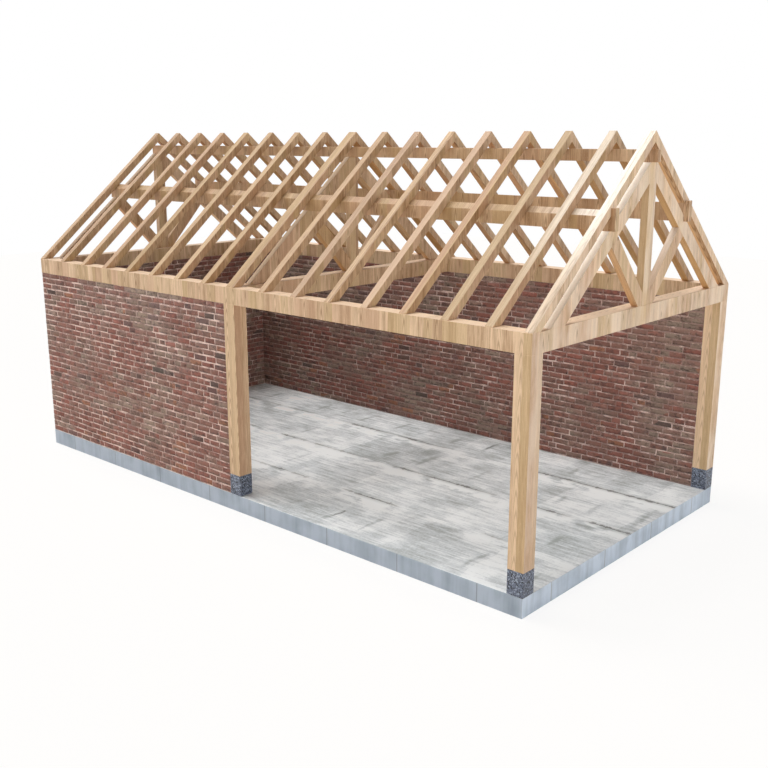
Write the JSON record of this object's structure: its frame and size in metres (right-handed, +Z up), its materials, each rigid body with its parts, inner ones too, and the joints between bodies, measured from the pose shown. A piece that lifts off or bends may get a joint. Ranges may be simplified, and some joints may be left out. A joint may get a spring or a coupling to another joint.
{
  "type": "oak timber frame",
  "caption": "Oak timber frame for a garage: posts, king post trusses, purlins and rafters on brick walls and a concrete slab.",
  "frame": {"origin": "middle of the slab's underside", "axes": "+X along the ridge towards the open gable, +Y across the span towards the long back wall, +Z up"},
  "size_m": [9.11, 4.49, 4.8499],
  "materials": {
    "oak": "matte",
    "brickwork": "matte",
    "granite": "satin",
    "concrete": "matte"
  },
  "bodies": {
    "root": {"slab": "concrete", "wall_front": "brickwork", "wall_left": "brickwork", "wall_back": "brickwork", "block_mid": "granite", "block_right": "granite", "block_rear": "granite", "post_mid": "oak", "post_right": "oak", "post_rear": "oak", "plate_front": "oak", "plate_back": "oak", "tie_left": "oak", "tie_mid": "oak", "tie_right": "oak", "king_left": "oak", "king_mid": "oak", "king_right": "oak", "principal_left_front": "oak", "principal_left_back": "oak", "principal_mid_front": "oak", "principal_mid_back": "oak", "principal_right_front": "oak", "principal_right_back": "oak", "strut_left_front": "oak", "strut_left_back": "oak", "strut_mid_front": "oak", "strut_mid_back": "oak", "strut_right_front": "oak", "strut_right_back": "oak", "purlin_front": "oak", "purlin_back": "oak", "ridge": "oak", "rafters_01": "oak", "rafters_02": "oak", "rafters_03": "oak", "rafters_04": "oak", "rafters_05": "oak", "rafters_06": "oak", "rafters_07": "oak", "rafters_08": "oak", "rafters_09": "oak", "rafters_10": "oak", "rafters_11": "oak", "rafters_12": "oak", "rafters_13": "oak", "rafters_14": "oak", "rafters_15": "oak", "rafters_16": "oak", "rafters_17": "oak"}
  },
  "joints": []
}
